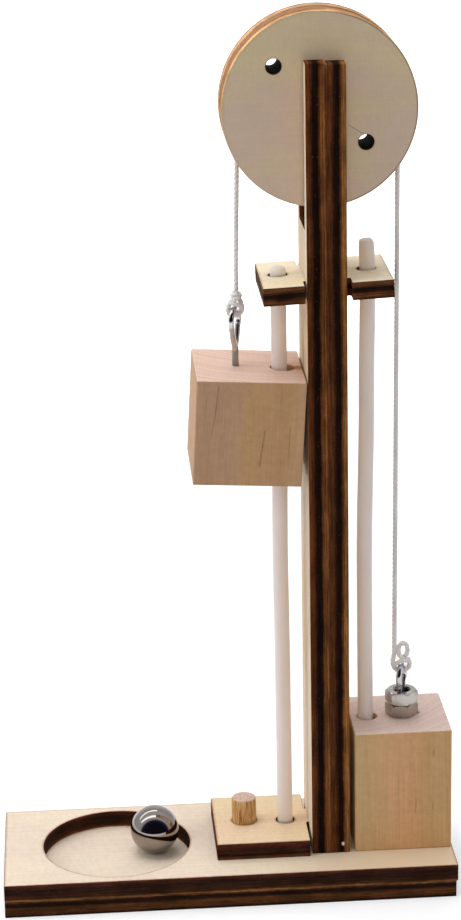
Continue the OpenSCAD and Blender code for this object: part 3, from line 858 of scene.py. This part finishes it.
def bracket_wings():
    local = shift(SEAM_X, LINE_Y, BRACKET_Z) @ Matrix.Rotation(-BRACKET_TILT, 4, "Y")
    for node, side, seed in (("bracket_left", -1, 31.0), ("bracket_right", 1, 34.0)):
        half, tab = BRACKET_DEPTH / 2, TAB_W / 2
        shoulder, reach = SHOULDER + side * BRACKET_SLIP, BRACKET_REACH + side * BRACKET_SLIP
        outline = [
            (TAB_START, -tab), (shoulder, -tab), (shoulder, -half), (reach, -half),
            (reach, half), (shoulder, half), (shoulder, tab), (TAB_START, tab),
        ]
        if side < 0:
            outline = [(-x, y) for x, y in reversed(outline)]
        hole = (side * GUIDE_OFF, 0, GUIDE_HOLE_R)
        ply_piece(
            node, [rounded(outline, 0.2), circle(*hole)], (2 * reach, BRACKET_DEPTH, BRACKET_T), local, seed,
            BRACKET_BANDS, BRACKET_PALE, BRACKET_WARM, circles=(hole,), scorch=0.3, marks=WING_MARKS[node])


def foot_plate():
    centre, size = extent("foot_plate")
    half = size.y / 2
    left = corners("foot_plate")[0].x - centre.x
    shoulder = corners("mast_left")[0].x - FOOT_SHOULDER - centre.x
    tab_end = SEAM_X - centre.x
    tab_low, tab_high = FOOT_TAB_Y - FOOT_TAB_W / 2 - centre.y, FOOT_TAB_Y + FOOT_TAB_W / 2 - centre.y
    outline = [
        (left, -half), (shoulder, -half), (shoulder, tab_low), (tab_end, tab_low),
        (tab_end, tab_high), (shoulder, tab_high), (shoulder, half), (left, half),
    ]
    rod, dowel = middle("rod_left") - centre, middle("stop_dowel") - centre
    holes = [(rod.x, rod.y, GUIDE_HOLE_R), (dowel.x, dowel.y, DOWEL_R + FIT)]
    loops = [rounded(outline, 0.2), *(circle(*hole) for hole in holes)]
    ply_piece(
        "foot_plate", loops, (2 * -left, 2 * half, size.z), local_frame(centre), 41.0, FOOT_BANDS,
        FOOT_PALE, FOOT_WARM, circles=holes, scorch=0.5)


base_sheets()
mast_layer("mast_left", MAST_LEFT_BANDS, 11.0)
mast_layer("mast_right", MAST_RIGHT_BANDS, 14.0)
wheel_discs()
bracket_wings()
foot_plate()

# ---- solid wood


def front_streaks(front, *rows):
    """Marks on a block's front face: each from x, z to x, z, with its width, its tint and its strength."""
    return tuple(
        ((x0, front, z0), (x1, front, z1), width, srgb(*tint), strength)
        for x0, z0, x1, z1, width, tint, strength in rows)


# each block's front, from left to right, and the dark streaks on it
LIFT_TINTS = stops(
    (0.0, 192, 152, 120), (0.2, 196, 156, 122), (0.3, 200, 159, 112), (0.5, 200, 156, 114),
    (0.66, 196, 154, 110), (0.8, 200, 160, 120), (1.0, 196, 154, 116))
LIFT_STREAKS = front_streaks(
    -12.7,
    (-7.6, 11.3, -8.2, 4.0, 0.2, (136, 98, 68), 0.6),
    (-8.2, 4.0, -8.9, -0.5, 0.2, (146, 106, 74), 0.45),
    (3.5, 1.0, 3.1, -3.0, 0.24, (148, 102, 62), 0.55),
    (3.2, -2.5, 2.6, -7.6, 0.28, (148, 102, 58), 0.6),
    (9.4, 2.0, 9.2, -6.0, 0.2, (156, 110, 72), 0.45),
    (-10.2, 9.0, -10.6, 5.0, 0.2, (156, 114, 82), 0.35),
    (6.8, 12.2, 6.9, 7.0, 0.2, (160, 116, 78), 0.35),
)
COUNTER_TINTS = stops(
    (0.0, 208, 172, 124), (0.12, 212, 172, 122), (0.28, 222, 174, 126), (0.45, 220, 168, 120),
    (0.6, 208, 166, 114), (0.8, 210, 168, 118), (1.0, 204, 162, 112))
COUNTER_STREAKS = front_streaks(
    -11.7,
    (7.4, 10.5, 7.3, 9.0, 0.3, (150, 104, 62), 0.5),
    (2.7, 9.0, 2.9, -6.0, 0.18, (176, 126, 82), 0.4),
    (7.2, -3.0, 7.2, -5.0, 0.2, (152, 106, 62), 0.5),
    (3.1, -2.0, 3.0, -6.0, 0.2, (160, 112, 66), 0.45),
    (-1.2, 4.0, -1.0, -13.0, 0.3, (196, 142, 98), 0.35),
    (6.2, 13.0, 6.3, 5.0, 0.18, (172, 124, 80), 0.35),
)


def lift_block():
    centre = middle("lift_block")
    local = shift(*centre) @ Matrix.Rotation(LIFT_TILT, 4, "Y") @ Matrix.Rotation(LIFT_LEAN, 4, "X")
    rod = middle("rod_left")
    bore = local.inverted() @ (Vector((rod.x, rod.y, centre.z)) * MM) / MM
    loops = [rectangle((LIFT_SIZE, LIFT_SIZE), 0.4), circle(bore.x, bore.y, LIFT_HOLE_R)]
    mesh = plate("lift_block", loops, LIFT_SIZE, edge=0.35, relief=(), seed=51.0)
    face = LIFT_SIZE / 2
    # an orange patch of torn wood beside the bore, which also reaches down the bore's shaded wall, where its
    # orange is painted light over the shade
    torn_wood_and_lit_bore = (
        (bore.x + 3.0, bore.y - 0.4, face), (bore.x + 3.6, bore.y - 0.6, face), 2.2, srgb(186, 128, 66), 0.9)
    wood = block_wood(
        "lift_block_wood", 51.0, (6.0, 34.0, 0.0), LIFT_TINTS, srgb(226, 196, 180), srgb(208, 172, 154),
        marks=(torn_wood_and_lit_bore, *LIFT_STREAKS))
    add_piece("lift_block", mesh, local, wood)


def counter_block():
    centre, size = extent("counter_block")
    hole = circle(COUNTER_HOLE_X - centre.x, LINE_Y - centre.y, COUNTER_HOLE_R)
    mesh = plate("counter_block", [rectangle(size, 0.6), hole], size.z, edge=0.35, relief=(), seed=54.0)
    wood = block_wood(
        "counter_block_wood", 54.0, (-20.0, 30.0, 0.0), COUNTER_TINTS, srgb(228, 204, 194),
        srgb(218, 190, 177), marks=COUNTER_STREAKS)
    piece = add_piece("counter_block", mesh, local_frame(centre), wood)
    eye = middle("counter_eye")
    spare = turned("spare", [(0, -SPARE_DEEP), (SPARE_R, -SPARE_DEEP), (SPARE_R, 2), (0, 2)], 32)
    cut(piece, [(spare, shift(eye.x + SPARE_OFF, eye.y, corners("counter_block")[1].z))])


def stop_dowel():
    size = extent("stop_dowel")[1]
    radius, rise = size.x / 2, size.z
    rings, furrow_deep = 12, 0.12

    def furrowed(r, angle, height):
        around = Vector((cos(angle) * 4, sin(angle) * 4, height * 0.15 + 3))
        return r - furrow_deep * abs(noise.noise(around)) * (r > 0.5)

    profile = [(0, 0), (radius, 0)]
    profile += [(radius, rise * k / rings) for k in range(1, rings)]
    profile += [(radius, rise - 0.35), (radius - 0.12, rise - 0.1), (radius - 0.4, rise), (0, rise)]
    mesh = turned("stop_dowel_piece", profile, 120, reach=furrowed)
    add_piece("stop_dowel", mesh, standing("stop_dowel"), dowel_wood("dowel_wood", 61.0))


lift_block()
counter_block()
stop_dowel()

# ---- rods

# how far each rod bows to the right, by height
LEFT_BOW = ((10, 0), (50, -0.1), (85, -0.3), (110, -0.12), (130, 0), (160, 0))
RIGHT_BOW = ((9, 0), (40, -0.3), (80, -0.4), (120, 0.2), (150, 0.55), (159, 0.3))
LEVELS = 60
# the left rod's rounded top, and how far it stays under the CAD's
DOME_H, DOME_LOW = 1.1, 0.3
# takes off the right rod's tip a snipped corner, and leaves the rest of it a little askew
TIP_WEDGE = ((-2.5, -0.45), (1.2, 0.01), (1.9, -1.2), (3.0, -1.2), (3.0, 2.0), (-2.5, 2.0))


def bowed(mesh, bow, foot):
    """Moves the rod's rings sideways, smoothly, as the bow says. foot is the height of its lower end."""
    for vertex in mesh.vertices:
        height = vertex.co.z / MM + foot
        before = [row for row in bow if row[0] <= height] or [bow[0]]
        after = [row for row in bow if row[0] > height] or [bow[-1]]
        (low, here), (high, there) = before[-1], after[0]
        share = (height - low) / (high - low) if high > low else 0.0
        share = min(1.0, max(0.0, share))
        vertex.co.x += (here + (there - here) * (3 - 2 * share) * share * share) * MM


def rod(node, straight, cap, bow, plastic):
    """One rod: plain up to a height, then its cap's (radius, height) points."""
    side = [(ROD_R, straight * k / LEVELS) for k in range(1, LEVELS)]
    mesh = turned(node + "_piece", [(0, 0), (ROD_R, 0), *side, *cap], 48)
    bowed(mesh, bow, corners(node)[0].z)
    return add_piece(node, mesh, standing(node), plastic)


def rods():
    plastic = rod_plastic("rod_plastic", 71.0)
    straight = extent("rod_left")[1].z - DOME_LOW - DOME_H
    turns = [k / 8 * pi / 2 for k in range(9)]
    dome = [(ROD_R * cos(t) ** 0.55, straight + DOME_H * sin(t)) for t in turns]
    rod("rod_left", straight, dome, LEFT_BOW, plastic)

    centre, size = extent("rod_right")
    rise = size.z
    end = [(ROD_R - 0.1, rise - 0.15), (ROD_R - 0.25, rise), (0, rise)]
    piece = rod("rod_right", rise, end, RIGHT_BOW, plastic)
    tip = shift(centre.x + RIGHT_BOW[-1][1], centre.y, corners("rod_right")[1].z)
    cut(piece, [(prism("wedge", TIP_WEDGE, -3, 3), tip)])


rods()

# ---- metal

ZINC = metal("zinc", 81.0, srgb(180, 175, 169), srgb(160, 153, 145), 0.12, 0.22, 0.8, 0.005)
STEM = metal("stem_steel", 83.0, srgb(178, 174, 168), srgb(160, 155, 148), 0.42, 0.5, 0.8, 0.004)
EYE_PLATE = metal("eye_plate", 84.0, srgb(208, 208, 211), srgb(188, 188, 191), 0.08, 0.16, 0.8, 0.004)
POLISHED = metal("polished", 87.0, srgb(158, 150, 145), srgb(147, 140, 135), 0.03, 0.08, 0.6, 0.003)
# the eye's neck, from the stem's top up to the ring: right and up
NECK = ((0.1, -0.3), (0.3, 0.4), (0.7, 1.2), (1.25, 2.2), (1.8, 3.3))
# the ring's own angles, from its lowest point round
RING_TURNS = range(54, 307, 12)
# the thread's profile is drawn this finely
THREAD_STEP = 0.07
NUT_RIM = 0.96
NUT_SHARP = radians(28)


def steel_ball():
    centre, size = extent("ball")
    radius = size.y / 2
    rings = 48
    turns = [pi * k / rings for k in range(rings + 1)]
    mesh = turned("ball_piece", [(radius * sin(t), -radius * cos(t)) for t in turns], 96)
    add_piece("ball", mesh, shift(*centre), POLISHED)


def screw_eye(node):
    """Wire bent up from a threaded stem, round a ring and back down beside its own neck."""
    low, high = corners(node)
    centre = Vector(((low.x + high.x) / 2, (low.y + high.y) / 2, high.z - EYE_R))
    stem_top = -EYE_R - NECK_H
    neck = [Vector((x, 0, stem_top + z)) for x, z in NECK]
    turns = [radians(turn) for turn in RING_TURNS]
    ring = [(EYE_R - WIRE_R) * Vector((sin(t), 0, -cos(t))) for t in turns]
    route = neck + ring + [Vector((-p.x, 0, p.z)) for p in reversed(neck)]
    mesh = mesh_from(node + "_ring", *sweep(flowing(route, 5), WIRE_R, 20))
    ring_faces = len(mesh.polygons)
    local = shift(*centre) @ Matrix.Rotation(pi / 2 - EYE_TURN, 4, "Z")
    bottom = low.z - centre.z

    def thread(r, angle, height):
        threaded = height < stem_top and r > STEM_R / 2
        return r - THREAD_DEEP * saw(height / THREAD_PITCH - angle / (2 * pi)) if threaded else r

    levels = int((stem_top - bottom) / THREAD_STEP)
    profile = [(0, bottom), (STEM_R, bottom)]
    profile += [(STEM_R, bottom + THREAD_STEP * k) for k in range(1, levels)]
    profile += [(STEM_R * share, stem_top + up) for share, up in ((1, 0), (0.95, 0.4), (0.7, 0.9), (0, 1.1))]
    stem = turned(node + "_stem", profile, 24, reach=thread)
    with edited(mesh) as draft:
        draft.from_mesh(stem)
    piece = add_piece(node, mesh, local, EYE_PLATE)
    mesh.materials.append(STEM)
    for polygon in piece.data.polygons:
        polygon.use_smooth = True
        polygon.material_index = int(polygon.index >= ring_faces)


def hex_nut(node):
    height = extent(node)[1].z
    across = NUT_FLATS / 2
    corner = across / cos(radians(30))
    rim = across * NUT_RIM

    def flats(r, angle, z):
        if r >= rim - 0.01:
            nearest = (degrees(angle) % 60) - 30
            return min(r, across / cos(radians(nearest)))
        threaded = abs(r - NUT_BORE_R) < 0.02
        return r + NUT_THREAD_DEEP * saw(z / THREAD_PITCH - angle / (2 * pi)) if threaded else r

    chamfer = (corner - rim) * tan(radians(30))
    outer = [(rim, 0.0)] + [(rim + (corner - rim) * k / 8, chamfer * k / 8) for k in range(1, 9)]
    outer += [(corner, height * k / 6) for k in range(2, 5)]
    outer += [(r, height - z) for r, z in reversed(outer[:9])]
    bore = [(NUT_BORE_R + NUT_SINK, height), (NUT_BORE_R, height - NUT_SINK)]
    bore += [(NUT_BORE_R, height - NUT_SINK - (height - 2 * NUT_SINK) * k / 24) for k in range(1, 24)]
    bore += [(NUT_BORE_R, NUT_SINK), (NUT_BORE_R + NUT_SINK, 0.0), (rim, 0.0)]
    mesh = turned(node + "_piece", outer + bore, 120, reach=flats)
    piece = add_piece(node, mesh, standing(node) @ Matrix.Rotation(NUT_TURNS[node], 4, "Z"), ZINC)
    # the edges that turn far stay sharp
    with edited(piece.data) as draft:
        for line in draft.edges:
            line.smooth = len(line.link_faces) != 2 or line.calc_face_angle(0) < NUT_SHARP


steel_ball()
screw_eye("lift_eye")
screw_eye("counter_eye")
hex_nut("nut_lower")
hex_nut("nut_upper")
frame["nodes"]["axle_pin"].data.materials[0] = ZINC

# ---- cord

# the knots' strands from each ring's top: right, back and up
LEFT_STRAND = (
    (0.45, 0, 5.2), (0.45, 0, 4.2), (0.5, 0.1, 3.3), (0.75, 0.2, 2.4), (1.15, 0.2, 1.5), (1.5, 0.1, 0.7),
    (1.75, 0, -0.2), (1.7, 0, -1.1), (1.35, 0, -1.85), (0.75, 0, -2.25), (0, 0, -2.4), (-0.75, 0, -2.25),
    (-1.3, -0.1, -1.75), (-1.5, -0.2, -1), (-1.4, -0.4, -0.1), (-1.05, -0.6, 0.7), (-0.6, -0.8, 1.5),
    (-0.2, -0.9, 2.2),
)
LEFT_BAND = (
    (1.7, -0.2, -0.8), (1.45, -0.8, -0.1), (0.8, -1.15, 0.4), (0, -1.2, 0.75), (-0.7, -0.9, 1),
    (-1, -0.3, 1.5),
)
LEFT_TURN = (
    (-0.9, -0.4, 1.3), (-0.4, -0.95, 1.6), (0.4, -1.2, 1.9), (1, -0.9, 2.2), (1.3, -0.2, 2.4),
    (1.1, 0.6, 2.6), (0.4, 0.9, 2.8), (-0.3, 0.7, 2.85), (-0.6, 0, 2.8), (-0.4, -0.7, 2.75), (0.1, -1, 2.8),
    (0.8, -0.9, 2.9),
)
RIGHT_STRAND = (
    (-1.75, 0, 5.8), (-1.75, 0, 4.6), (-1.75, 0, 3.3), (-1.85, -0.1, 2.1), (-2.1, -0.3, 1), (-2.2, -0.4, 0),
    (-2, -0.4, -0.9), (-1.5, -0.3, -1.7), (-0.8, -0.1, -2.25), (0, 0, -2.4), (0.8, 0.1, -2.3),
    (1.45, 0.2, -1.95), (1.85, 0.1, -1.3), (1.95, 0, -0.5), (1.75, -0.2, 0.3), (1.35, -0.5, 1),
)
RIGHT_LOOP = (
    (1.7, -0.4, 0.4), (1.1, -0.8, 0.9), (0.3, -0.9, 1.2), (-0.4, -0.7, 1.7), (-0.75, -0.4, 2.5),
    (-0.75, -0.1, 3.5), (-0.4, 0, 4.4), (0.25, 0, 4.9), (0.95, 0, 4.6), (1.35, 0, 3.8), (1.4, -0.1, 2.8),
    (1.15, -0.4, 2), (0.6, -0.9, 1.7),
)
RIGHT_TURN = (
    (-2.05, -0.6, -0.6), (-1.6, -0.95, -0.2), (-1.1, -1.15, 0.25), (-0.5, -1.3, 0.65), (0.2, -1.35, 0.85),
    (0.9, -1.2, 0.8), (1.6, -0.6, 0.3),
)
# the yarn's strands: how many, how thick, how far from the middle, and the length of one full twist
STRANDS, STRAND_R, LAY_R, TWIST = 3, 0.35, 0.25, 3.4
KNOT_STEP, RUN_STEP = 0.16, 0.28
# the straight upright stretch at each end of a run
LEAD = 3.0
YARN = cord_fibre("cord_fibre", 91.0)
AT_ORIGIN = Matrix.Identity(4)


def yarn(path, start_turn=0.0):
    """Three strands twisted round a path, each a tube."""
    rows = frames_along(path)
    tubes = []
    for strand in range(STRANDS):
        way = []
        for here, side, other, length in rows:
            angle = 2 * pi * (strand / STRANDS + length / TWIST) + start_turn
            way.append(here + LAY_R * (cos(angle) * side + sin(angle) * other))
        tubes.append(sweep(way, STRAND_R, 8))
    return joined(tubes)


def eye_top(node):
    low, high = corners(node)
    return Vector(((low.x + high.x) / 2, (low.y + high.y) / 2, high.z))


def knot(node, eye, *strands):
    top = eye_top(eye)
    routes = [flowing([top + Vector(p) for p in strand]) for strand in strands]
    tubes = [yarn(even(route, KNOT_STEP), turn) for turn, route in enumerate(routes)]
    add_piece(node, mesh_from(node + "_piece", *joined(tubes)), AT_ORIGIN, YARN)


def cord_run(node, x, low_end):
    """One straight run, from the wheel's side down to its knot."""
    top = Vector((x, LINE_Y, AXLE.z))
    route = [top, Vector((x, LINE_Y, AXLE.z - LEAD)), low_end + Vector((0, 0, LEAD)), low_end]
    piece = add_object(node + "_piece", mesh_from(node + "_piece", *yarn(even(route, RUN_STEP))))
    piece.data.materials.append(YARN)
    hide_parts(node)
    return piece, top


def cords():
    knot("knot_left", "lift_eye", LEFT_STRAND, LEFT_BAND, LEFT_TURN)
    knot("knot_right", "counter_eye", RIGHT_STRAND, RIGHT_LOOP, RIGHT_TURN)

    centre = Vector((AXLE.x, LINE_Y, AXLE.z))
    turns = [pi * (1 - k / 90) for k in range(91)]
    over = [centre + CORD_R * Vector((cos(t), 0, sin(t))) for t in turns]
    mesh = mesh_from("cord_over_wheel_piece", *yarn(even(over, RUN_STEP)))
    add_piece("cord_over_wheel", mesh, AT_ORIGIN, YARN)

    # the left run pays out from the wheel as the lift goes down
    low_end = eye_top("lift_eye") + Vector(LEFT_STRAND[0])
    piece, top = cord_run("cord_left", AXLE.x - CORD_R, low_end)
    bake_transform(piece)

    # and the right run shortens as the counterweight goes up
    low_end = eye_top("counter_eye") + Vector(RIGHT_STRAND[0])
    piece, top = cord_run("cord_right", AXLE.x + CORD_R, low_end)
    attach(piece, "frame")
    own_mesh(piece)


cords()

# ---- floor, light and background

WHITE = (1, 1, 1, 1)
PAPER_DIM, PAPER_PALE = (0.66, 0.66, 0.67, 1), (0.68, 0.68, 0.69, 1)
# near the object the paper's own light is weak, so that its shadow shows, and far off it is plain white
NEAR, FAR, NEAR_GLOW = 220.0, 600.0, 0.42
FLOOR_REACH, FLOOR_LOW = 3000.0, 0.02
AMBIENT, AMBIENT_STRENGTH = (0.95, 0.97, 1.0, 1), 0.30
# what metal mirrors, from the camera's side to the back
MIRRORED = (
    (0.2, (0.010, 0.010, 0.018, 1)), (0.3, (0.04, 0.035, 0.09, 1)), (0.37, (0.72, 0.72, 0.77, 1)),
    (0.62, (0.8, 0.8, 0.84, 1)), (0.84, (0.62, 0.62, 0.66, 1)), (0.97, WHITE),
)


def make_floor():
    s = Shader("floor_paper")
    rays = s.node("LightPath").outputs
    seen = s.math("MAXIMUM", rays["Is Camera Ray"], rays["Is Glossy Ray"])
    seen = s.math("MAXIMUM", seen, rays["Is Transmission Ray"])
    tint = s.mix(s.grain(0.8), PAPER_DIM, PAPER_PALE)
    paper = s.node("BsdfDiffuse", {"Color": tint})
    strength = s.times(seen, s.step(s.vector("LENGTH", s.at), NEAR, FAR, NEAR_GLOW, 1.0))
    glow = s.node("Emission", {"Strength": strength})
    both = s.node("AddShader", {0: paper.outputs[0], 1: glow.outputs[0]})
    s.node("OutputMaterial", {0: both.outputs[0]})
    outline = [(x * FLOOR_REACH, y * FLOOR_REACH, 0) for x, y in ((-1, -1), (1, -1), (1, 1), (-1, 1))]
    mesh = mesh_from("floor", outline, [(0, 1, 2, 3)])
    mesh.materials.append(s.material)
    floor = add_object("floor", mesh)
    floor.location.z = -FLOOR_LOW * MM


def make_world():
    """White to the eye and in metal at the back; a dim studio in front, which the ball mirrors."""
    world = bpy.data.worlds.new("studio")
    world.use_nodes = True
    s = Nodes(world.node_tree)
    rays = s.node("LightPath").outputs
    to_back = s.split(s.node("TexCoord").outputs["Generated"])[1]
    share = s.node("MapRange", {"Value": to_back, "From Min": -1.0}).outputs[0]
    ambient = s.node("Background", {"Color": AMBIENT, "Strength": AMBIENT_STRENGTH})
    mirrored = s.node("Background", {"Color": s.ramp(share, MIRRORED)})
    white = s.node("Background", {"Color": WHITE})
    seen = s.math("MAXIMUM", rays["Is Camera Ray"], rays["Is Transmission Ray"])
    unseen = s.node("MixShader", {0: rays["Is Glossy Ray"], 1: ambient.outputs[0], 2: mirrored.outputs[0]})
    final = s.node("MixShader", {0: seen, 1: unseen.outputs[0], 2: white.outputs[0]})
    s.node("OutputWorld", {0: final.outputs[0]})
    bpy.context.scene.world = world


def lamp(name, power, size, at, aim=(0.0, 0.0, 0.09), mirrored=False):
    """A soft rectangular lamp. Only the mirrored ones show in metal."""
    data = bpy.data.lights.new(name, "AREA")
    data.energy = power
    data.shape = "RECTANGLE"
    data.size, data.size_y = size
    light = add_object(name, data)
    light.location = at
    light.rotation_euler = (Vector(aim) - Vector(at)).to_track_quat("-Z", "Y").to_euler()
    light.visible_glossy = mirrored


make_floor()
make_world()
lamp("overhead", 5.4, (0.9, 0.7), (-0.1, 0.1, 1.1))
lamp("left", 4.0, (0.8, 0.8), (-1.1, -0.1, 0.5))
lamp("right", 1.6, (0.8, 0.8), (1.1, -0.2, 0.5))
lamp("front", 2.5, (1.2, 0.8), (0.0, -1.3, 0.9))
lamp("back", 2.0, (1.0, 0.6), (0.3, 1.1, 0.6))
# two thin tubes overhead, which the ball mirrors as arcs
lamp("near_tube", 1.9, (1.5, 0.15), (-0.65, -0.03, 0.8), aim=(-0.65, -0.03, 0.0), mirrored=True)
lamp("far_tube", 1.9, (1.5, 0.15), (-0.6, 0.5, 0.8), aim=(-0.6, 0.5, 0.0), mirrored=True)
bpy.context.scene.view_settings.view_transform = "Standard"
